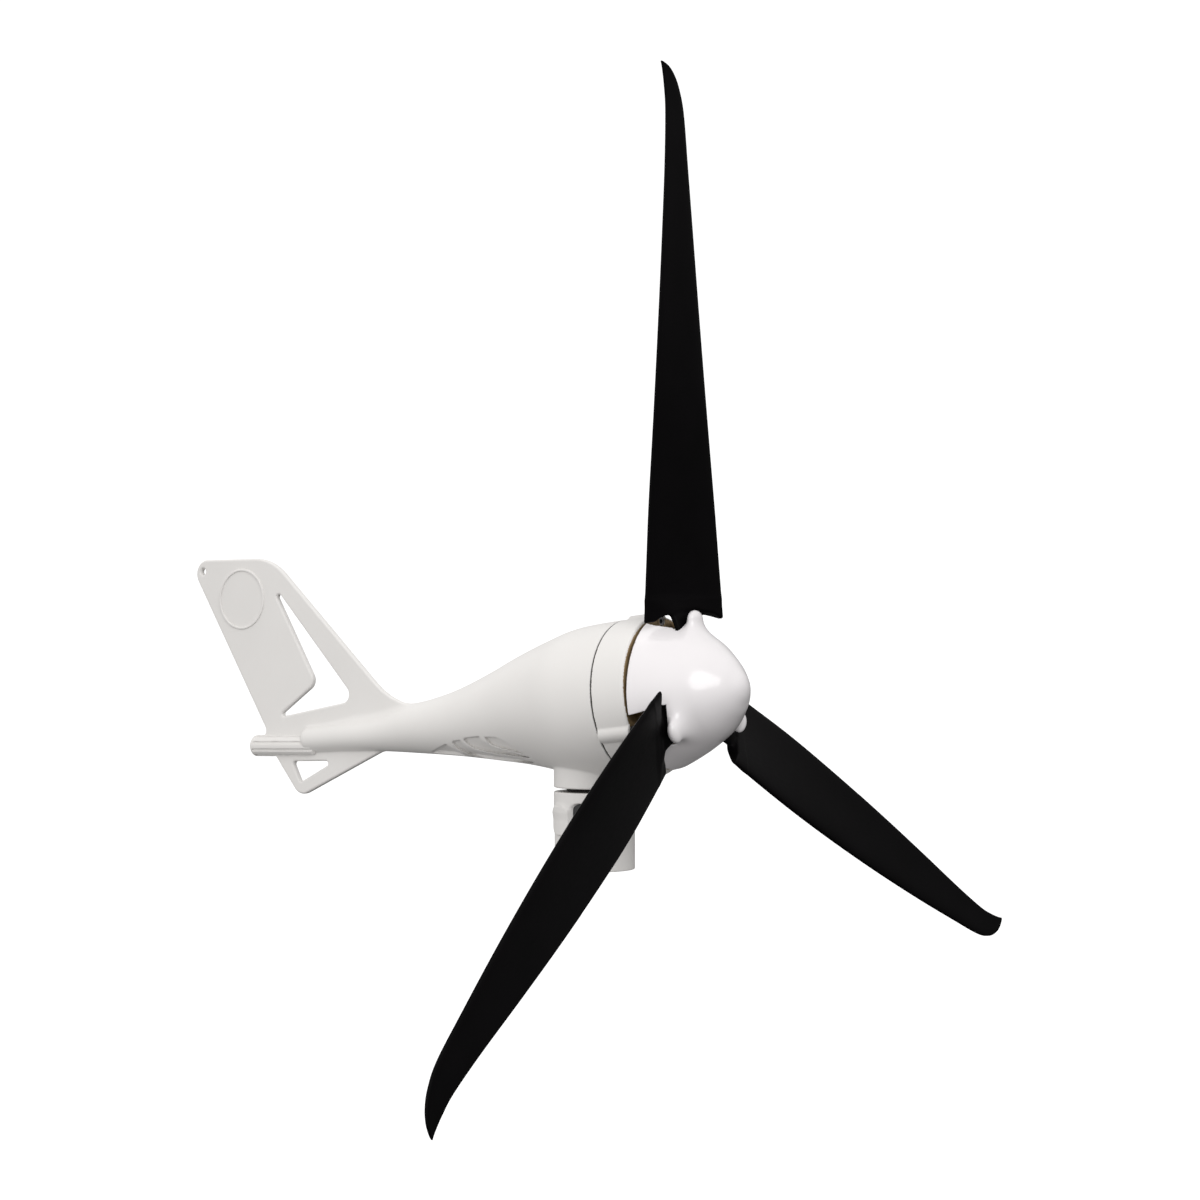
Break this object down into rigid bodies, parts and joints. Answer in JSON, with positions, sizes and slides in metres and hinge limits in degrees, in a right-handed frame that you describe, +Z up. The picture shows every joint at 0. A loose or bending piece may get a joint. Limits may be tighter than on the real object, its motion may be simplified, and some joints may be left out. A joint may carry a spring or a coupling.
{
  "type": "small wind turbine",
  "caption": "Pole-top wind turbine with a cast teardrop body, tail boom and fin, rounded nose cone and slim swept blades driving an internal alternator.",
  "frame": {"origin": "centre of the pole collar's bottom rim, on the yaw axis", "axes": "+Z up along the pole and the yaw axis; the nose and rotor point towards -Y, tilted 6 degrees up; the tail boom and fin point towards +Y; +X is to the right of someone who looks along +Y"},
  "size_m": [1.0162, 0.7155, 0.9],
  "materials": {
    "casting_paint": "satin white powder coat on cast aluminium",
    "nose_plastic": "glossy white moulded plastic",
    "blade_composite": "satin black moulded carbon-filled composite",
    "steel": "zinc-plated steel",
    "hub_aluminium": "machined aluminium",
    "bearing_steel": "ground bearing steel",
    "lamination": "varnished electrical steel laminations",
    "magnet_plating": "nickel-plated magnets",
    "copper": "enamelled copper",
    "rubber": "black rubber",
    "circuit_board": "green circuit board",
    "black_plastic": "black moulded plastic",
    "carbon": "pressed carbon"
  },
  "bodies": {
    "pole_mount": {"pole_collar": "casting_paint", "yaw_shaft": "steel", "dust_seal": "rubber", "yaw_lock_nut": "steel", "slip_ring_carrier": "black_plastic", "slip_ring_1": "copper", "slip_ring_2": "copper", "slip_ring_3": "copper", "clamp_bolt_lower": "steel", "clamp_bolt_upper": "steel", "lower_yaw_bearing_inner_ring": "bearing_steel", "upper_yaw_bearing_inner_ring": "bearing_steel"},
    "head": {"body_casting": "casting_paint", "face_plate": "casting_paint", "face_gasket": "rubber", "face_screw_1": "steel", "face_screw_2": "steel", "face_screw_3": "steel", "stator_core": "lamination", "stator_winding": "copper", "shaft_seal": "rubber", "circuit_board": "circuit_board", "rectifier": "black_plastic", "capacitor": "black_plastic", "brush_holder": "black_plastic", "brush_1": "carbon", "brush_2": "carbon", "brush_3": "carbon", "snap_ring": "steel", "lower_yaw_bearing_outer_ring": "bearing_steel", "upper_yaw_bearing_outer_ring": "bearing_steel", "front_bearing_outer_ring": "bearing_steel", "rear_bearing_outer_ring": "bearing_steel"},
    "rotor": {"nose_cone": "nose_plastic", "blade_1": "blade_composite", "blade_2": "blade_composite", "blade_3": "blade_composite", "hub_plate": "hub_aluminium", "hub_washer": "steel", "hub_nut": "steel", "rotor_shaft": "steel", "rotor_core": "lamination", "magnet_1": "magnet_plating", "magnet_2": "magnet_plating", "magnet_3": "magnet_plating", "magnet_4": "magnet_plating", "magnet_5": "magnet_plating", "magnet_6": "magnet_plating", "blade_bolt_1": "steel", "blade_bolt_2": "steel", "blade_bolt_3": "steel", "blade_bolt_4": "steel", "blade_bolt_5": "steel", "blade_bolt_6": "steel", "front_bearing_inner_ring": "bearing_steel", "rear_bearing_inner_ring": "bearing_steel"},
    "front_bearing_balls": {"front_bearing_ball_cage": "bearing_steel"},
    "rear_bearing_balls": {"rear_bearing_ball_cage": "bearing_steel"},
    "lower_yaw_balls": {"lower_yaw_bearing_ball_cage": "bearing_steel"},
    "upper_yaw_balls": {"upper_yaw_bearing_ball_cage": "bearing_steel"}
  },
  "joints": [
    {"name": "yaw", "type": "hinge", "parent": "pole_mount", "child": "head", "pos_m": [0, 0, 0.09], "axis": [0, 0, 1], "continuous": true},
    {"name": "rotor_spin", "type": "hinge", "parent": "head", "child": "rotor", "pos_m": [0, 0, 0.158], "axis": [0, -0.9945, 0.1045], "continuous": true},
    {"name": "front_balls_spin", "type": "hinge", "parent": "head", "child": "front_bearing_balls", "pos_m": [0, 0, 0.158], "axis": [0, -0.9945, 0.1045], "continuous": true},
    {"name": "rear_balls_spin", "type": "hinge", "parent": "head", "child": "rear_bearing_balls", "pos_m": [0, 0, 0.158], "axis": [0, -0.9945, 0.1045], "continuous": true},
    {"name": "lower_yaw_balls_turn", "type": "hinge", "parent": "pole_mount", "child": "lower_yaw_balls", "pos_m": [0, 0, 0.088], "axis": [0, 0, 1], "continuous": true},
    {"name": "upper_yaw_balls_turn", "type": "hinge", "parent": "pole_mount", "child": "upper_yaw_balls", "pos_m": [0, 0, 0.122], "axis": [0, 0, 1], "continuous": true}
  ],
  "couplings": [
    {"joint": "front_balls_spin", "follows": "rotor_spin", "ratio": 0.3976},
    {"joint": "rear_balls_spin", "follows": "rotor_spin", "ratio": 0.4029},
    {"joint": "lower_yaw_balls_turn", "follows": "yaw", "ratio": 0.5761},
    {"joint": "upper_yaw_balls_turn", "follows": "yaw", "ratio": 0.5806}
  ]
}
